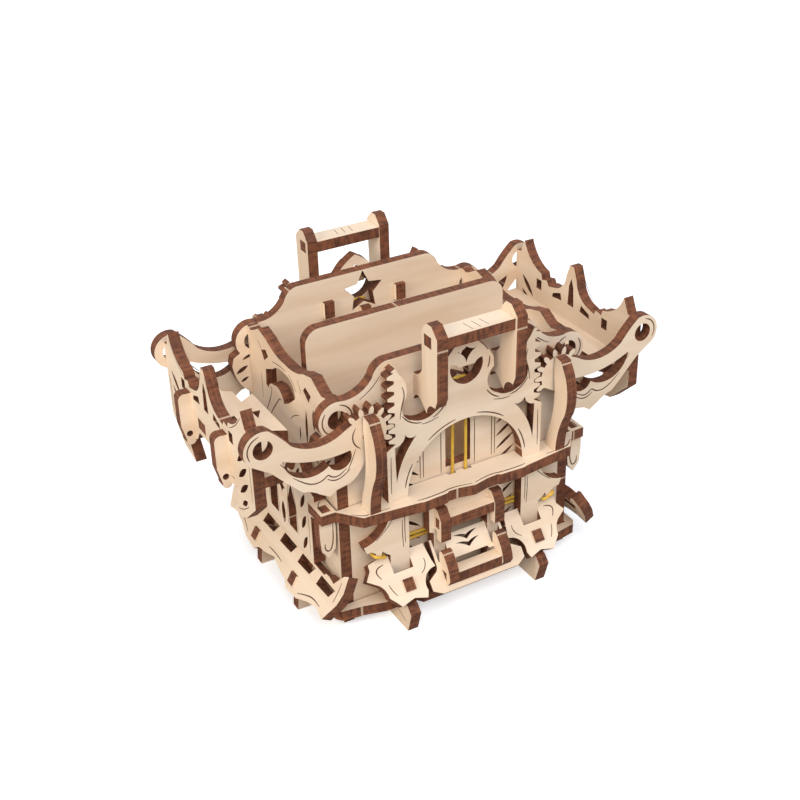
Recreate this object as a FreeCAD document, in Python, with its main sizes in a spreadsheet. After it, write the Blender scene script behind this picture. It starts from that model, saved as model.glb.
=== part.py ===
import FreeCAD, Part
import math
import os
from collections import namedtuple

# Wooden deck box cut from flat plywood: a fixed frame, a card box that lifts out of it,
# and two wings whose gears roll on the frame's racks and fold up as the card box rises.
# X runs along the front, Y to the back, Z up. The origin is on the ground, in the middle.

doc = FreeCAD.newDocument("deck_box")

# Driving dimensions in millimetres, with counts and degrees where the name says so
SIZES = {
    "ply": 3.2,
    "fit": 0.05,
    "running_gap": 0.3,
    "room_width": 68.4,
    "room_depth": 49.2,
    "floor_height": 1.6,
    "wall_top": 80.2,
    "shoulder_x": 21.5,
    "lobe_x": 36.0,
    "lobe_height": 67.2,
    "lobe_radius": 5.3,
    "panel_gap": 1.2,
    "pivot_x": 29.9,
    "pivot_height": 63.4,
    "gear_module": 1.0,
    "gear_teeth": 14,
    "gear_backlash": 0.4,
    "pin_radius": 1.5,
    "reach": 28.7,
    "rise": 4.7,
    "eye_radius": 5.2,
    "eye_hole": 2.7,
    "fence_depth": 28.4,
    "rib_y": 12.6,
    "tray_height": 54.8,
    "post_x": 11.9,
    "handle_out": 40.0,
    "handle_top": 91.6,
    "handle_bar_height": 85.2,
    "tip_height": 65.4,
    "arch_radius": 18.4,
    "leg_width": 6.0,
    "leg_bottom": 16.2,
    "ring_height": 75.0,
    "ring_radius": 8.4,
    "shelf_height": 36.8,
    "shelf_out": 36.4,
    "base_height": 4.8,
    "base_edge": 35.0,
    "base_side": 42.6,
    "front_tilt_degrees": 50.0,
    "side_tilt_degrees": 60.0,
    "skirt_top": 17.6,
    "skirt_side": 41.0,
    "foot_x": 21.4,
    "foot_out": 38.4,
    "side_foot_out": 45.2,
    "screen_top": 50.0,
    "divider_width": 63.4,
    "divider_top": 79.8,
    "grip_x": 8.8,
    "band_radius": 0.45,
}
sheet = doc.addObject("Spreadsheet::Sheet", "sizes")
for row, (name, value) in enumerate(SIZES.items(), start=1):
    sheet.set("A%d" % row, name)
    sheet.set("B%d" % row, str(value))
    sheet.setAlias("B%d" % row, name)
doc.recompute()


def mm(name):
    """The value of one cell of the sheet."""
    return float(sheet.get(name))


ply = mm("ply")
fit = mm("fit")
gap = mm("running_gap")

# Faces that several pieces share, measured from the middle
wall_in = mm("room_depth") / 2
wall_out = wall_in + ply
side_in = mm("room_width") / 2
side_out = side_in + ply
arch_in = wall_out + mm("panel_gap")
arch_out = arch_in + ply
screen_in = side_out + 2 * gap
pivot_x = mm("pivot_x")
pivot_z = mm("pivot_height")
pitch_radius = mm("gear_module") * mm("gear_teeth") / 2
rack_x = pivot_x - pitch_radius
leg_out = mm("arch_radius") + mm("leg_width")
base_z = mm("base_height")
base_top = base_z + ply
floor_z = mm("floor_height")
floor_top = floor_z + ply
shelf_z = mm("shelf_height")
shelf_top = shelf_z + ply
post_x = mm("post_x")
foot_x = mm("foot_x")
rib_y = mm("rib_y")
reach = mm("reach")
fence_out = pivot_x + reach + 2.1
fence_in = fence_out - ply
half = ply / 2
FRONT, BACK, LEFT, RIGHT = -1, 1, -1, 1
SIDE_NAME = {FRONT: "front", BACK: "back"}
HAND_NAME = {LEFT: "left", RIGHT: "right"}

Via = namedtuple("Via", "x y")
Circle = namedtuple("Circle", "x y radius")


# Outline helpers: a loop is a list of points, and a Via between two points makes an arc

def mirrored(points):
    """The loop of the right half followed by its mirror image in the line x = 0."""
    other = [type(p)(-p[0], p[1]) if isinstance(p, Via) else (-p[0], p[1]) for p in reversed(points)]
    joined = list(points)
    for p in other:
        if isinstance(p, Via) or isinstance(joined[-1], Via) or math.dist(p, joined[-1]) > 1e-6:
            joined.append(p)
    first, last = joined[0], joined[-1]
    if not isinstance(last, Via) and math.dist(first, last) < 1e-6:
        joined.pop()
    return joined


def flipped(loop, hand):
    """The loop with its first coordinate multiplied by hand."""
    if isinstance(loop, Circle):
        return Circle(hand * loop.x, loop.y, loop.radius)
    return [Via(hand * p.x, p.y) if isinstance(p, Via) else (hand * p[0], p[1]) for p in loop]


def moved(loop, dx, dy):
    if isinstance(loop, Circle):
        return Circle(loop.x + dx, loop.y + dy, loop.radius)
    return [Via(p.x + dx, p.y + dy) if isinstance(p, Via) else (p[0] + dx, p[1] + dy) for p in loop]


def box(x0, y0, x1, y1):
    return [(x0, y0), (x1, y0), (x1, y1), (x0, y1)]


def leaf(x0, y0, x1, y1, belly):
    """A leaf-shaped slit between two points: two arcs that bulge by belly."""
    length = math.dist((x0, y0), (x1, y1))
    nx, ny = -(y1 - y0) / length * belly, (x1 - x0) / length * belly
    mx, my = (x0 + x1) / 2, (y0 + y1) / 2
    return [(x0, y0), Via(mx + nx, my + ny), (x1, y1), Via(mx - nx, my - ny)]


def four_point(x, y, r, waist=0.45):
    """A four-pointed star hole with hollow sides."""
    tips = [(x + r, y), (x, y + r), (x - r, y), (x, y - r)]
    loop = []
    for i, tip in enumerate(tips):
        angle = math.radians(45 + 90 * i)
        loop.append(tip)
        loop.append(Via(x + r * waist * math.cos(angle), y + r * waist * math.sin(angle)))
    return loop


def five_point(x, y, r, inner):
    loop = []
    for i in range(10):
        angle = math.radians(90 + 36 * i)
        radius = r if i % 2 == 0 else inner
        loop.append((x + radius * math.cos(angle), y + radius * math.sin(angle)))
    return loop


# FreeCAD helpers

ROTATION = {
    "XY": FreeCAD.Rotation(),
    "XZ": FreeCAD.Rotation(FreeCAD.Vector(1, 0, 0), 90),
    "YZ": FreeCAD.Rotation(FreeCAD.Vector(1, 1, 1), 120),
}


def draw(sketch, loop):
    """Add one closed loop to a sketch."""
    if isinstance(loop, Circle):
        centre = FreeCAD.Vector(loop.x, loop.y, 0)
        sketch.addGeometry(Part.Circle(centre, FreeCAD.Vector(0, 0, 1), loop.radius), False)
        return
    ring = list(loop) + [loop[0]]
    i = 0
    while i < len(ring) - 1:
        start = FreeCAD.Vector(ring[i][0], ring[i][1], 0)
        if isinstance(ring[i + 1], Via):
            middle = FreeCAD.Vector(ring[i + 1].x, ring[i + 1].y, 0)
            end = FreeCAD.Vector(ring[i + 2][0], ring[i + 2][1], 0)
            sketch.addGeometry(Part.Arc(start, middle, end), False)
            i += 2
        else:
            end = FreeCAD.Vector(ring[i + 1][0], ring[i + 1][1], 0)
            sketch.addGeometry(Part.LineSegment(start, end), False)
            i += 1


def origin_plane(body):
    return [f for f in body.Origin.OriginFeatures if f.Role == "XY_Plane"][0]


pieces = []


def plate(name, loops, turn, base, keep=True):
    """One laser-cut plate: outlines padded by the plywood's thickness and set in its place."""
    body = doc.addObject("PartDesign::Body", name)
    body.Label = name
    sketch = body.newObject("Sketcher::SketchObject", name + "_outline")
    sketch.AttachmentSupport = [(origin_plane(body), "")]
    sketch.MapMode = "FlatFace"
    for loop in loops:
        draw(sketch, loop)
    pad = body.newObject("PartDesign::Pad", name + "_pad")
    pad.Profile = sketch
    pad.setExpression("Length", "sizes.ply")
    rotation = ROTATION[turn] if isinstance(turn, str) else turn
    body.Placement = FreeCAD.Placement(FreeCAD.Vector(0, 0, 0), rotation)
    for axis, formula in zip("xyz", base):
        if formula:
            body.setExpression("Placement.Base." + axis, formula)
    if keep:
        pieces.append(body)
    return body


def group(name, members):
    """Pieces that share one node, kept as separate solids."""
    compound = doc.addObject("Part::Compound", name)
    compound.Label = name
    compound.Links = members
    pieces.append(compound)
    return compound


def wire_part(name, shape):
    """A soft round piece whose shape follows a wire route."""
    feature = doc.addObject("Part::Feature", name)
    feature.Label = name
    feature.Shape = shape
    feature.Placement = FreeCAD.Placement()
    pieces.append(feature)
    return feature


def facing(side, inner):
    """Where a plate parallel to the front goes: its back face, as a formula."""
    return ("", "%s + (%s)" % (inner, "sizes.ply") if side == BACK else "-(%s)" % inner, "")


WALL_IN = "sizes.room_depth / 2"
SIDE_IN = "sizes.room_width / 2"
ARCH_IN = "sizes.room_depth / 2 + sizes.ply + sizes.panel_gap"


# Card box: two walls, two side panels, a floor, a divider and two handles

POST_TENON = (68.2, 73.2)
HOOK_TENON = (65.4, 68.9)
TAB_HALF = 5.0
TAB_X = 20.0
TAB_Y = 14.0
LOBE_FOOT = mm("lobe_height") - 7.0


def wall_outline():
    """Half outline of a wall: straight below, a leaf and a round lobe at each side, a shoulder."""
    lobe_x, lobe_z, r = mm("lobe_x"), mm("lobe_height"), mm("lobe_radius")
    top, shoulder = mm("wall_top"), mm("shoulder_x")
    fall = top - (lobe_z + r)
    return mirrored([
        (TAB_X - TAB_HALF - fit, floor_z),
        (TAB_X - TAB_HALF - fit, floor_top + fit),
        (TAB_X + TAB_HALF + fit, floor_top + fit),
        (TAB_X + TAB_HALF + fit, floor_z),
        (side_in - fit, floor_z),
        (side_in - fit, LOBE_FOOT),
        (side_out + fit, LOBE_FOOT),
        (side_out + fit, LOBE_FOOT - 9.6),
        (side_out + 1.2, LOBE_FOOT - 9.0),
        Via(side_out + 4.2, LOBE_FOOT - 4.8),
        (side_out + 5.6, LOBE_FOOT + 0.4),
        (side_out + 5.0, LOBE_FOOT + 2.7),
        (lobe_x + r * 0.8, lobe_z - r * 0.6),
        Via(lobe_x + r, lobe_z),
        (lobe_x - 1.6, lobe_z + math.sqrt(r * r - 1.6 ** 2)),
        Via(shoulder + 7.2, top - fall * 0.88),
        (shoulder + 4.0, top - fall * 0.48),
        Via(shoulder + 2.5, top - fall * 0.16),
        (shoulder, top),
    ])


def card_wall(side):
    leaves = []
    for s in (LEFT, RIGHT):
        leaves += [leaf(s * 12.3, 17.0 + 4.2 * k, s * 18.6, 21.2 + 4.2 * k, 0.5) for k in range(10)]
        leaves.append(leaf(s * 36.2, LOBE_FOOT + 2.9, s * 39.8, LOBE_FOOT + 1.6, 0.45))
        leaves.append(leaf(s * (side_out + 0.8), LOBE_FOOT - 0.6, s * (side_out + 4.6), LOBE_FOOT - 2.4, 0.65))
        leaves.append(leaf(s * (side_out + 0.9), LOBE_FOOT - 4.2, s * (side_out + 3.4), LOBE_FOOT - 5.4, 0.45))
    slot = [(-4.0, 42.0), (4.0, 42.0), (4.0, 54.0), Via(0, 58.0), (-4.0, 54.0)]
    post_slots = [box(s * post_x - half - fit, POST_TENON[0] - fit, s * post_x + half + fit,
        POST_TENON[1] + fit)
                  for s in (LEFT, RIGHT)]
    hook_slot = box(-half - fit, HOOK_TENON[0] - fit, half + fit, HOOK_TENON[1] + fit)
    star = five_point(0, mm("ring_height") - 1.6, 6.6, 3.3)
    pins = [Circle(s * pivot_x, pivot_z, mm("pin_radius")) for s in (LEFT, RIGHT)]
    eyes = [Circle(s * mm("lobe_x"), mm("lobe_height"), mm("eye_hole")) for s in (LEFT, RIGHT)]
    loops = [wall_outline(), slot, hook_slot, star] + leaves + post_slots + pins + eyes
    return plate("%s_wall" % SIDE_NAME[side], loops, "XZ", facing(side, WALL_IN))


def side_panel(hand):
    """Plate across the box; its upper part stops at the walls and its lower part reaches past them."""
    inner = wall_in - fit
    outline = mirrored([
        (TAB_Y - TAB_HALF - fit, floor_z),
        (TAB_Y - TAB_HALF - fit, floor_top + fit),
        (TAB_Y + TAB_HALF + fit, floor_top + fit),
        (TAB_Y + TAB_HALF + fit, floor_z),
        (wall_out, floor_z),
        (wall_out, LOBE_FOOT - fit),
        (inner, LOBE_FOOT - fit),
        (inner, 72.4),
        (inner - 2.4, 71.8),
        (inner - 4.4, 72.6),
        (16.6, 74.6),
        (11.6, 73.4),
        Via(7.0, 71.6),
        (0, 71.0),
    ])
    window = [
        (13.4, 63.4), (13.9, 58.2), (12.4, 57.8), Via(11.2, 59.6), (8.6, 60.4), Via(4.4, 60.4),
        (2.4, 57.4),
        (-1.2, 59.4), (-5.4, 62.8), Via(-4.4, 66.2), (0, 67.8), Via(4.6, 67.6), (8.4, 65.6),
    ]
    stars = [[(s * 11.0, 68.2), (s * 12.4, 69.8), (s * 15.6, 68.6), (s * 14.0, 65.9)]
        for s in (LEFT, RIGHT)]
    near = [leaf(-7.0, 50.6, -7.4, 55.6, 0.4), leaf(-11.4, 51.6, -12.0, 62.8, 0.7),
        leaf(-16.4, 58.4, -16.6, 65.0, 0.8)]
    loops = [outline] + [flipped(hole, -hand) for hole in [window] + near] + stars
    base = "sizes.room_width / 2" if hand == RIGHT else "-(sizes.room_width / 2 + sizes.ply)"
    return plate("%s_side_panel" % HAND_NAME[hand], loops, "YZ", (base, "", ""))


DIVIDER_TAB = 16.0


def divider():
    w, top, r = mm("divider_width") / 2, mm("divider_top"), 4.5
    outline = mirrored([
        (DIVIDER_TAB - TAB_HALF, floor_top),
        (DIVIDER_TAB - TAB_HALF, floor_z),
        (DIVIDER_TAB + TAB_HALF, floor_z),
        (DIVIDER_TAB + TAB_HALF, floor_top),
        (w, floor_top),
        (w, top - r),
        Via(w - r * (1 - math.sqrt(0.5)), top - r * (1 - math.sqrt(0.5))),
        (w - r, top),
    ])
    return plate("divider", [outline], "XZ", ("", "sizes.ply / 2", ""))


def box_floor():
    """Floor between the walls, with tabs into their feet and slots for the divider's tenons."""
    x, y = side_in - fit, wall_in - fit
    right = [
        (x, -TAB_Y - TAB_HALF), (side_out, -TAB_Y - TAB_HALF), (side_out, -TAB_Y + TAB_HALF),
        (x, -TAB_Y + TAB_HALF),
        (x, TAB_Y - TAB_HALF), (side_out, TAB_Y - TAB_HALF), (side_out, TAB_Y + TAB_HALF),
        (x, TAB_Y + TAB_HALF),
    ]
    back = [
        (x, y), (TAB_X + TAB_HALF, y), (TAB_X + TAB_HALF, wall_out), (TAB_X - TAB_HALF, wall_out),
        (TAB_X - TAB_HALF, y),
    ]
    corner = [(x, -y)] + right + back
    left = [(-px, py) for px, py in reversed(right)]
    back_left = [(-px, py) for px, py in reversed(back)]
    front_left = [(-px, -py) for px, py in back]
    front_right = [(px, -py) for px, py in reversed(back)]
    outline = corner + back_left + left + front_left + front_right[:-1]
    slots = [box(s * DIVIDER_TAB - TAB_HALF - fit, -half - fit, s * DIVIDER_TAB + TAB_HALF + fit,
        half + fit)
             for s in (LEFT, RIGHT)]
    return plate("box_floor", [outline] + slots, "XY", ("", "", "sizes.floor_height"))


BAR_IN = mm("handle_out") - 6.3
BAR_OUT = BAR_IN + 3.4


def handle_posts(side):
    """Two uprights whose tenons go through the wall and whose pointed tips hang in the frame's notches."""
    out, top, tip = mm("handle_out"), mm("handle_top"), mm("tip_height")
    bar_z = mm("handle_bar_height")
    chamfer = 2.7
    outline = [
        (wall_in - 1.4, POST_TENON[0]), (wall_out, POST_TENON[0]), (wall_out, tip + 1.2),
        Via(wall_out + 1.8, tip + 3.2), (wall_out + 4.0, tip + 2.4), (out - 5.6, tip),
        Via(out - 4.2, tip + 2.8), (out - 1.4, tip + 3.4), (out - 0.3, tip + 6.0),
        (out, top - chamfer), (out - chamfer, top), (out - 5.2, top), (out - 7.6, top - chamfer),
        (out - 7.6, tip + 12.4), Via(out - 8.6, tip + 10.6), (wall_out, tip + 9.2),
        (wall_out, POST_TENON[1]),
        (wall_in - 1.4, POST_TENON[1]),
    ]
    hole = box(BAR_IN - fit, bar_z - fit, BAR_OUT + fit, bar_z + ply + fit)
    posts = []
    for hand in (LEFT, RIGHT):
        base = "%s sizes.post_x - sizes.ply / 2" % ("-" if hand == LEFT else "")
        name = "%s_%s_post" % (SIDE_NAME[side], HAND_NAME[hand])
        posts.append(plate(name, [flipped(outline, side), flipped(hole, side)], "YZ", (base, "", ""),
            keep=False))
    return group("%s_handle_posts" % SIDE_NAME[side], posts)


def handle_bar(side):
    inner = post_x - half - fit
    end = post_x + half
    out = mm("handle_out")
    outline = [
        (-inner, out - 7.4), (inner, out - 7.4), (inner, BAR_IN), (end, BAR_IN), (end, BAR_OUT),
        (inner, BAR_OUT),
        (inner, out - 0.8), (-inner, out - 0.8), (-inner, BAR_OUT), (-end, BAR_OUT), (-end, BAR_IN),
        (-inner, BAR_IN),
    ]
    turned = [(x, side * y) for x, y in outline]
    return plate("%s_handle_bar" % SIDE_NAME[side], [turned], "XY", ("", "", "sizes.handle_bar_height"))


def band_hook(side):
    """Small tab through the wall that the lifting band goes over, behind the arch."""
    low, high = HOOK_TENON
    end = arch_in - 0.15
    outline = [(wall_in - 1.6, low - 1.2), (wall_in, low - 1.2), (wall_in, low), (end, low), (end, high),
        (wall_in - 1.6, high)]
    return plate("%s_band_hook" % SIDE_NAME[side], [flipped(outline, side)], "YZ",
        ("-sizes.ply / 2", "", ""))


def pivot_pins(hand):
    """Round pins, one in each wall, that the wing's two gears turn on."""
    pins = []
    for side in (FRONT, BACK):
        pin = doc.addObject("Part::Cylinder", "%s_%s_pin" % (SIDE_NAME[side], HAND_NAME[hand]))
        pin.setExpression("Radius", "sizes.pin_radius")
        pin.setExpression("Height", "2 * sizes.ply + sizes.panel_gap + sizes.running_gap")
        pin.Placement = FreeCAD.Placement(FreeCAD.Vector(0, 0, 0),
            FreeCAD.Rotation(FreeCAD.Vector(1, 0, 0), -90 * side))
        pin.setExpression("Placement.Base.x", "%s sizes.pivot_x" % ("-" if hand == LEFT else ""))
        pin.setExpression("Placement.Base.y",
            "%s (sizes.room_depth / 2)" % ("-" if side == FRONT else ""))
        pin.setExpression("Placement.Base.z", "sizes.pivot_height")
        pins.append(pin)
    return group("%s_pivot_pins" % HAND_NAME[hand], pins)


# Wings: two geared arms, a pierced fence, a tray floor and two ribs each

PRESSURE = math.radians(20)


def tooth_angle(radius):
    """Half the angle that a tooth takes at a radius, from the involute's formula."""
    base_radius = pitch_radius * math.cos(PRESSURE)
    pitch_half = (math.pi * mm("gear_module") / 2 - mm("gear_backlash") / 2) / 2 / pitch_radius
    at_pitch = math.tan(PRESSURE) - PRESSURE
    if radius <= base_radius:
        return pitch_half + at_pitch
    alpha = math.acos(base_radius / radius)
    return pitch_half + at_pitch - (math.tan(alpha) - alpha)


def gear_teeth(first, last):
    """Points round the toothed stretch, from tooth number first to last, tooth 0 facing the rack."""
    module = mm("gear_module")
    root, tip = pitch_radius - 1.25 * module, pitch_radius + 0.95 * module
    points = []
    for number in range(first, last + 1):
        middle = math.pi - number * 2 * math.pi / mm("gear_teeth")
        for sign in (1, -1):
            steps = [root, pitch_radius - 0.4 * module, pitch_radius, pitch_radius + 0.5 * module, tip]
            if sign == -1:
                steps.reverse()
            for radius in steps:
                angle = middle + sign * tooth_angle(radius)
                points.append((radius * math.cos(angle), radius * math.sin(angle)))
    return points


def arm_outline():
    """Arm seen from outside: pivot at the origin, first coordinate outward."""
    eye_x, eye_z, r = reach, mm("rise"), mm("eye_radius")
    return gear_teeth(-1, 5) + [
        (6.4, 2.9), Via(13.2, 0.7), (eye_x - 7.4, eye_z - 1.2), Via(eye_x - 4.6, eye_z + 2.2),
        (eye_x - r * 0.35, eye_z + r * 0.937), Via(eye_x + r * 0.966, eye_z + r * 0.26),
        (eye_x + r * 0.7, eye_z - r * 0.714),
        (eye_x - 1.6, -2.6), (22.2, -7.9), (18.9, -11.2), Via(16.6, -11.9), (14.3, -13.4), (11.4, -15.2),
        (9.4, -13.8), (5.6, -13.1), Via(2.6, -10.6), (0.6, -6.2),
    ]


def crescent():
    return [(24.0, -0.1), Via(14.4, -3.2), (5.0, -3.2), Via(7.4, -8.0), (11.2, -5.8), Via(17.8, -7.2)]


FENCE_FOOT = 49.2


def wing_arm(side, hand):
    shapes = [
        arm_outline(), crescent(), Circle(reach, mm("rise"), mm("eye_hole")),
        Circle(0, 0, mm("pin_radius") + fit),
    ]
    loops = [moved(flipped(shape, hand), hand * pivot_x, pivot_z) for shape in shapes]
    return plate("%s_%s_arm" % (SIDE_NAME[side], HAND_NAME[hand]), loops, "XZ", facing(side, ARCH_IN))


def wing_fence(hand):
    """Outer wall of the tray: three curved spikes above, a hollow below, slots for the ribs."""
    y = arch_in - fit
    top = pivot_z + 12.6
    low = FENCE_FOOT
    right = [
        (0, low + 4.2), (7.6, low + 3.8), (9.6, low + 0.8), Via(13.0, low - 0.2), (17.0, low + 1.2),
        (17.4, low - 3.4), (13.4, low - 8.8), (21.4, low - 7.2), (y, low), (y, top - 4.6),
        (26.6, top - 4.2), (24.6, top),
        Via(20.4, top - 5.6), (15.4, top - 7.8), (14.8, top - 9.6), (12.4, top - 9.0), (11.4, top - 10.6),
        (7.4, top - 9.6), Via(4.0, top - 7.2), (2.6, top - 3.6), (1.0, top + 0.4), (0, top + 0.4),
    ]
    leaves = [leaf(s * 19.4, z, s * 25.4, z + 5.6, 0.85) for s in (LEFT, RIGHT)
        for z in (49.2, 54.0, 58.8)]
    leaves += [leaf(s * 20.2, 45.8, s * 24.0, 48.8, 0.8) for s in (LEFT, RIGHT)]
    slots = [box(s * rib_y - half - fit, RIB_BEAM[0] - fit, s * rib_y + half + fit, RIB_BEAM[1] + fit)
             for s in (LEFT, RIGHT)]
    squares = [box(s * 16.4 - 1.3, 62.6, s * 16.4 + 1.3, 65.8) for s in (LEFT, RIGHT)]
    lances = [[(-1.5, 63.4), (1.5, 63.4), (1.1, 69.6), (0, 72.4), (-1.1, 69.6)]]
    darts = [[(s * 4.6, 63.4), (s * 9.4, 62.8), (s * 9.0, 64.2), (s * 5.2, 65.6)] for s in (LEFT, RIGHT)]
    floor_slots = [box(s * 5.0 - 2.5 - fit, mm("tray_height") - fit, s * 5.0 + 2.5 + fit,
        mm("tray_height") + ply + fit)
                   for s in (LEFT, RIGHT)]
    outer = "sizes.pivot_x + sizes.reach + 2.1"
    base = outer + " - sizes.ply" if hand == RIGHT else "-(" + outer + ")"
    loops = [mirrored(right)] + leaves + slots + squares + lances + darts + floor_slots
    return plate("%s_wing_fence" % HAND_NAME[hand], loops, "YZ", (base, "", ""))


TRAY_IN = 49.5
TRAY_TONGUE = 42.9
RIB_BEAM = (mm("tray_height") - 3.4, mm("tray_height"))


def tray_floor(hand):
    """Floor between the arms, on the ribs, with tabs into the fence and a tongue towards the box."""
    y = arch_in - fit
    half_floor = [
        (fence_in, 2.5), (fence_out, 2.5), (fence_out, 7.5), (fence_in, 7.5), (fence_in, y),
        (TRAY_IN + 3.0, y),
        (TRAY_IN, y - 4.0), (TRAY_IN, 17.4), (TRAY_TONGUE + 4.2, 15.6), (TRAY_TONGUE + 4.4, 9.0),
        (TRAY_TONGUE, 11.6),
    ]
    outline = half_floor + [(x, -py) for x, py in reversed(half_floor)]
    holes = [[(TRAY_TONGUE + 1.8, 2.0), (TRAY_TONGUE + 4.0, -1.6), (TRAY_TONGUE + 4.2, 2.4)],
        box(52.0, -3.0, 54.6, 3.0)]
    loops = [flipped(outline, hand)] + [flipped(hole, hand) for hole in holes]
    return plate("%s_tray_floor" % HAND_NAME[hand], loops, "XY", ("", "", "sizes.tray_height"))


def tray_ribs(hand):
    """Two ribs: a beam under the tray floor through the fence, and a rounded plate outside it."""
    low, high = RIB_BEAM
    out = fence_out + 3.8
    outline = [
        (TRAY_IN + 1.0, high), (TRAY_IN + 1.0, low + 1.4), (TRAY_IN + 3.0, low), (fence_out, low),
        (fence_out, low - 2.4), Via(fence_out + 1.2, low - 3.4), (fence_out + 2.6, low - 1.6),
        (out, low + 3.0), (out, low + 11.0), Via(out - 0.8, low + 12.4), (out - 2.4, low + 12.6),
        (fence_out, low + 12.6), (fence_out, high),
    ]
    hole = Circle(fence_out + 1.6, low + 0.2, 0.9)
    ribs = []
    for side in (FRONT, BACK):
        base = "%s sizes.rib_y + sizes.ply / 2" % ("-" if side == FRONT else "")
        name = "%s_%s_rib" % (SIDE_NAME[side], HAND_NAME[hand])
        loops = [flipped(outline, hand), flipped(hole, hand)]
        ribs.append(plate(name, loops, "XZ", ("", base, ""), keep=False))
    return group("%s_tray_ribs" % HAND_NAME[hand], ribs)


# Frame: arches with racks, shelves, retaining bars, screens, skirts, feet and the base

def rack_points():
    """Teeth of the right-hand rack, from the top down, with a gap facing gear tooth 0."""
    module = mm("gear_module")
    step = math.pi * module
    half_pitch = (step / 2 - mm("gear_backlash") / 2) / 2
    slope = math.tan(PRESSURE)
    out, root = 0.8 * module, 1.2 * module
    points = []
    for number in range(4, -3, -1):
        z = pivot_z + (number + 0.5) * step
        points += [
            (rack_x - root, z + half_pitch + slope * root), (rack_x + out, z + half_pitch - slope * out),
            (rack_x + out, z - half_pitch + slope * out), (rack_x - root, z - half_pitch - slope * root),
        ]
    return points


def arch_panel(side):
    ring_z, ring_r = mm("ring_height"), mm("ring_radius")
    r = mm("arch_radius")
    notch_x = post_x + 1.2
    teeth = rack_points()
    tower_top = teeth[0][1] + 0.4
    outline = mirrored([
        (r, mm("leg_bottom")), (leg_out, mm("leg_bottom")), (leg_out, 22.9), (leg_out + 1.2, 23.7),
        (26.8, 25.0),
        (27.2, 23.7), (28.8, 23.7), (28.9, 25.0), (30.2, 26.0), (31.6, 26.0), (32.4, 28.2),
        Via(27.2, 30.6), (leg_out, 35.6),
        (leg_out, teeth[-1][1] - 1.6), (rack_x - 1.2 * mm("gear_module"), teeth[-1][1]),
    ] + teeth[::-1][1:] + [
        (teeth[0][0] + 0.9, tower_top), (teeth[0][0] - 0.4, tower_top + 0.8),
        (teeth[0][0] - 1.6, tower_top - 1.4),
        Via(teeth[0][0] - 3.0, ring_z + 0.6), (notch_x + 5.2, ring_z - 4.6),
        Via(notch_x + 6.4, ring_z - 8.4), (notch_x + 3.4, ring_z - 11.8), Via(notch_x, ring_z - 12.6),
        (notch_x - 3.4, ring_z - 11.4), Via(notch_x - 6.4, ring_z - 8.0), (ring_r + 0.2, ring_z - 3.0),
        (ring_r, ring_z), Via(ring_r * 0.6, ring_z + ring_r * 0.55), (0, ring_z + ring_r),
    ])
    opening_top = arch_centre() + r
    spandrel = [
        (15.4, opening_top - 0.2), Via(17.2, opening_top - 0.5), (18.8, opening_top + 0.9),
        Via(20.2, opening_top - 1.6), (22.0, opening_top - 2.2), (21.7, opening_top - 13.2),
        Via(19.6, opening_top - 6.4),
    ]
    upper = [(0, ring_z + 5.2), Via(1.2, ring_z + 4.4), (2.9, ring_z + 4.1), Via(1.1, ring_z + 2.8),
        (0, ring_z + 0.5),
             Via(-1.1, ring_z + 2.8), (-2.9, ring_z + 4.1), Via(-1.2, ring_z + 4.4)]
    lower = [(-4.9, ring_z + 0.9), Via(-3.4, ring_z + 0.5), (-2.6, ring_z - 0.4), (2.6, ring_z - 0.4),
             Via(3.4, ring_z + 0.5), (4.9, ring_z + 0.9), Via(4.4, ring_z - 3.0), (0, ring_z - 5.8),
             Via(-4.4, ring_z - 3.0)]
    loops = [legged(outline, r), spandrel, flipped(spandrel, -1), upper, lower]
    return plate("%s_arch_panel" % SIDE_NAME[side], loops, "XZ", facing(side, ARCH_IN))


def arch_centre():
    return shelf_top + 0.2


def legged(outline, r):
    """Close the panel's outline below with the round arch between its legs."""
    bottom = mm("leg_bottom")
    return list(outline) + [(-r, arch_centre()), Via(0, arch_centre() + r), (r, arch_centre())]


def shelf(side):
    """Shelf round the front at half height: slots for the arch's legs and ends that turn the corner."""
    out, inner = mm("shelf_out"), wall_out + gap
    leg_in, leg_end = mm("arch_radius") - fit, leg_out + fit
    slot_out = arch_out + fit
    corner = screen_in
    outline = mirrored([
        (0, inner), (half - 0.3, inner), (half - 0.3, arch_in), (half + 2.2, arch_in),
        (half + 2.2, inner), (leg_in, inner), (leg_in, slot_out), (leg_end, slot_out), (leg_end, inner),
        (corner, inner),
        (corner, 19.5), (corner + 3.4, 19.5), Via(corner + 4.3, 19.9), (corner + 4.6, 20.8),
        (corner + 4.6, inner + 0.2),
        (corner + 0.4, inner + 0.4), (33.2, out - 1.6), (31.6, out - 1.6), (17.4, out), (16.0, out + 0.4),
        (8.6, out),
        (7.8, out - 0.6), (4.4, out - 0.4), (0, out + 0.6),
    ])
    bars = [box(s * BAR_X - half - fit, 30.4 - fit, s * BAR_X + half + fit, 33.4 + fit)
        for s in (LEFT, RIGHT)]
    pegs = [box(s * (corner + 2.4) - 1.2 - fit, SHIELD_Y - half - fit, s * (corner + 2.4) + 1.2 + fit,
        SHIELD_Y + half + fit)
            for s in (LEFT, RIGHT)]
    loops = [outline] + bars + pegs
    turned = [[Via(p.x, side * p.y) if isinstance(p, Via) else (p[0], side * p[1]) for p in loop]
        for loop in loops]
    return plate("%s_shelf" % SIDE_NAME[side], turned, "XY", ("", "", "sizes.shelf_height"))


BAR_X = 29.6
SHIELD_Y = 25.6


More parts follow.
